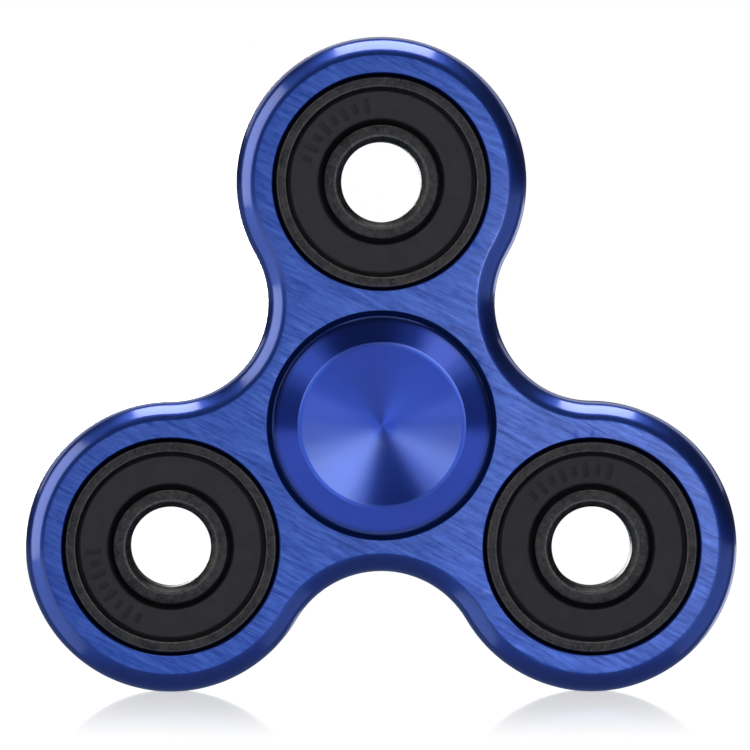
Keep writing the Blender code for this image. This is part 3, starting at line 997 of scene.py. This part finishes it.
def build_camera():
    data = bpy.data.cameras.new("camera")
    data.lens = CAMERA_LENS
    data.sensor_width = 36.0
    data.clip_start = 0.05
    data.clip_end = 20.0
    camera = bpy.data.objects.new("camera", data)
    bpy.context.scene.collection.objects.link(camera)
    away = Vector((math.sin(CAMERA_SWING) * math.cos(CAMERA_RISE),
                   -math.cos(CAMERA_SWING) * math.cos(CAMERA_RISE), math.sin(CAMERA_RISE)))
    camera.location = CAMERA_TARGET + away * CAMERA_DISTANCE
    camera.rotation_euler = away.to_track_quat("Z", "Y").to_euler()
    bpy.context.scene.camera = camera


def receivers(name, pieces):
    """A collection for light linking. It stays out of the scene."""
    group = bpy.data.collections.new(name)
    for piece in pieces:
        group.objects.link(piece)
    return group


def panel(name, group, corner_a, corner_b, corner_c, radiance, tint=WHITE):
    """A rectangular light with three given corners, facing the object and seen only by its group."""
    across = corner_b - corner_a
    along = corner_c - corner_b
    data = bpy.data.lights.new(name, "AREA")
    data.shape = "RECTANGLE"
    data.size = across.length
    data.size_y = along.length
    data.energy = radiance * math.pi * data.size * data.size_y
    data.color = tint
    light = bpy.data.objects.new(name, data)
    bpy.context.scene.collection.objects.link(light)
    middle = (corner_a + corner_c) / 2
    side = across.normalized()
    up = along.normalized()
    facing_out = side.cross(up)
    if facing_out.dot(middle) < 0:
        side = -side
        facing_out = -facing_out
    turn = Matrix((side, up, facing_out)).transposed().to_4x4()
    light.matrix_world = Matrix.Translation(middle) @ turn
    light.visible_camera = False
    light.light_linking.receiver_collection = group


def beam_panel(name, group, clock_from, clock_to, tilt_from, tilt_to, distance, radiance, tint=WHITE):
    """A panel that runs along the view axis and fills a span of clock and tilt as the object sees it."""
    middle = math.radians((clock_from + clock_to) / 2)
    half = math.radians((clock_to - clock_from) / 2)
    out = Vector((math.sin(middle), 0.0, math.cos(middle)))
    side = Vector((math.cos(middle), 0.0, -math.sin(middle))) * (distance * math.tan(half))
    near = Vector((0.0, -distance / math.tan(math.radians(tilt_from)), 0.0))
    far = Vector((0.0, -distance / math.tan(math.radians(tilt_to)), 0.0))
    base = out * distance
    panel(name, group, base - side + near, base + side + near, base + side + far, radiance, tint)


def soft_beam(name, group, spans, tilt_from, tilt_to, distance):
    """Nested panels, brightest where they overlap, so that the light fades towards its sides."""
    for index, (clock_from, clock_to, radiance, tint) in enumerate(spans):
        beam_panel(f"{name}_{index + 1}", group, clock_from, clock_to, tilt_from, tilt_to, distance,
                   radiance, tint)


def card(name, group, clock, tilt, width, height, distance, radiance):
    """A square-on panel in one direction, sized in degrees as the object sees it."""
    out = direction(clock, tilt)
    up = Vector((0.0, 0.0, 1.0))
    side = out.cross(up).normalized()
    up = side.cross(out).normalized()
    side *= distance * math.tan(math.radians(width) / 2)
    up *= distance * math.tan(math.radians(height) / 2)
    middle = out * distance
    panel(name, group, middle - side - up, middle + side - up, middle + side + up, radiance)


def build_world():
    """White to the camera; to the object, a dim room that is a little lighter below the horizon."""
    world = bpy.data.worlds.new("studio")
    bpy.context.scene.world = world
    world.use_nodes = True
    tree = world.node_tree
    background = tree.nodes["Background"]
    output = tree.nodes["World Output"]
    way = add(tree, "ShaderNodeTexCoord").outputs["Generated"]
    rise = add(tree, "ShaderNodeSeparateXYZ", {0: way}).outputs["Z"]
    room = mix_colour(tree, ramp(tree, rise, -0.05, 0.02), colour(*ROOM_BELOW), colour(*ROOM_ABOVE))
    tree.links.new(room, background.inputs["Color"])
    white = add(tree, "ShaderNodeBackground", {"Color": colour(*WHITE), "Strength": 1.0})
    seen = add(tree, "ShaderNodeLightPath").outputs["Is Camera Ray"]
    chosen = add(tree, "ShaderNodeMixShader", {0: seen, 1: background.outputs[0], 2: white.outputs[0]})
    tree.links.new(chosen.outputs[0], output.inputs["Surface"])


def floor_material():
    """White acrylic that glows a little, with a gloss that fades away from the object."""
    material = bpy.data.materials.new("white_floor")
    material.use_nodes = True
    tree = material.node_tree
    tree.nodes.remove(tree.nodes["Principled BSDF"])
    place = add(tree, "ShaderNodeTexCoord").outputs["Object"]
    distance = add(tree, "ShaderNodeVectorMath", {0: place}, operation="LENGTH").outputs["Value"]
    gloss = ramp(tree, distance, FLOOR_GLOSS_START, FLOOR_GLOSS_END, FLOOR_GLOSS, 0.0, True)
    grain = noise(tree, place, 900.0, 3.0)
    normal = add(tree, "ShaderNodeBump", {"Height": grain, "Distance": 0.00002, "Strength": 0.1}).outputs[0]
    matt = add(tree, "ShaderNodeBsdfDiffuse", {"Color": colour(0.86, 0.86, 0.86), "Normal": normal})
    shine = add(tree, "ShaderNodeBsdfGlossy", {"Color": colour(*WHITE), "Roughness": 0.05})
    glow = add(tree, "ShaderNodeEmission", {"Color": colour(*WHITE), "Strength": 1.0})
    pale = add(tree, "ShaderNodeMixShader", {0: FLOOR_GLOW, 1: matt.outputs[0], 2: glow.outputs[0]})
    surface = add(tree, "ShaderNodeMixShader", {0: gloss, 1: pale.outputs[0], 2: shine.outputs[0]})
    tree.links.new(surface.outputs[0], tree.nodes["Material Output"].inputs["Surface"])
    return material


def build_floor():
    """A flat floor under the object's lowest point. The object doesn't mirror it."""
    mesh = bpy.data.meshes.new("floor")
    reach = FLOOR_SIZE / 2
    corners = [(-reach, -reach, 0.0), (reach, -reach, 0.0), (reach, reach, 0.0), (-reach, reach, 0.0)]
    mesh.from_pydata(corners, [], [(0, 1, 2, 3)])
    mesh.materials.append(floor_material())
    floor = bpy.data.objects.new("floor", mesh)
    bpy.context.scene.collection.objects.link(floor)
    floor.location = (0.0, 0.0, cad_bounds[0][2])
    floor.visible_glossy = False
    return floor


def build_dome(floor):
    """A white tent that only the floor sees: it lights the floor and is what the floor mirrors."""
    material = bpy.data.materials.new("tent")
    material.use_nodes = True
    tree = material.node_tree
    tree.nodes.remove(tree.nodes["Principled BSDF"])
    glow = add(tree, "ShaderNodeEmission", {"Color": colour(*WHITE), "Strength": TENT_GLOW})
    clear = add(tree, "ShaderNodeBsdfTransparent")
    both = add(tree, "ShaderNodeAddShader", {0: glow.outputs[0], 1: clear.outputs[0]})
    tree.links.new(both.outputs[0], tree.nodes["Material Output"].inputs["Surface"])
    material.cycles.emission_sampling = "NONE"
    shape = bmesh.new()
    bmesh.ops.create_uvsphere(shape, u_segments=48, v_segments=24, radius=TENT_RADIUS)
    mesh = mesh_from(shape, "tent")
    mesh.materials.append(material)
    dome = bpy.data.objects.new("tent", mesh)
    bpy.context.scene.collection.objects.link(dome)
    dome.visible_camera = False
    dome.visible_shadow = False
    dome.light_linking.receiver_collection = receivers("floor_light", [floor])


def build_studio(frame_group, cap_group):
    build_camera()
    build_world()
    build_dome(build_floor())
    frame_light = receivers("frame_light", frame_group)
    cap_light = receivers("cap_light", cap_group)
    # a beam's numbers: clock from and to, tilt from and to, distance, radiance
    # a card's numbers: clock, tilt, width, height, distance, radiance
    beam_panel("overhead", frame_light, -18, 22, 47, 106, 0.7, 4.6)
    beam_panel("left", frame_light, -98, -44, 33, 90, 0.6, 1.75, (1.0, 1.0, 0.93))
    beam_panel("low_left", frame_light, -140, -100, 12, 95, 0.6, 0.62, (0.63, 0.8, 1.0))
    beam_panel("low_right", frame_light, 92, 140, 9, 95, 0.6, 0.36, (0.45, 0.64, 1.0))
    card("front_fill", frame_light, 92, 8, 8, 8, 0.42, 12.7)
    card("side_fill", frame_light, -100, 8, 6, 6, 0.3, 2.9)
    beam_panel("back", frame_light, -70, 70, 126, 158, 0.7, 0.7)
    beam_panel("back_cap", cap_light, -70, 70, 126, 158, 0.7, 0.35)
    card("back_fill", frame_light, -70, 170, 14, 14, 0.5, 7.0)
    card("back_cap_fill", cap_light, -60, 172, 12, 12, 0.4, 5.0)
    card("back_side", frame_light, 111, 135, 24, 24, 0.6, 1.3)
    card("back_cap_side", cap_light, 111, 135, 64, 64, 0.6, 0.45)
    soft_beam("cap_right", cap_light, CAP_RIGHT, 36, 64, 0.5)
    soft_beam("cap_left", cap_light, CAP_LEFT, 36, 64, 0.5)
    soft_beam("dish_right", cap_light, DISH_RIGHT, 3, 27, 0.25)
    soft_beam("dish_left", cap_light, DISH_LEFT, 3, 27, 0.25)
    low = CAP_LOW_HEIGHT
    near = low / math.tan(CAP_LOW_TILT)
    panel("cap_low", cap_light, Vector((-CAP_LOW_REACH, near, low)), Vector((CAP_LOW_REACH, near, low)),
          Vector((CAP_LOW_REACH, CAP_LOW_BACK, low)), 0.66, (0.48, 0.66, 1.0))


frame_pieces, cap_pieces = build_spinner()
build_studio(frame_pieces, cap_pieces)
bpy.context.scene.view_settings.view_transform = "Standard"
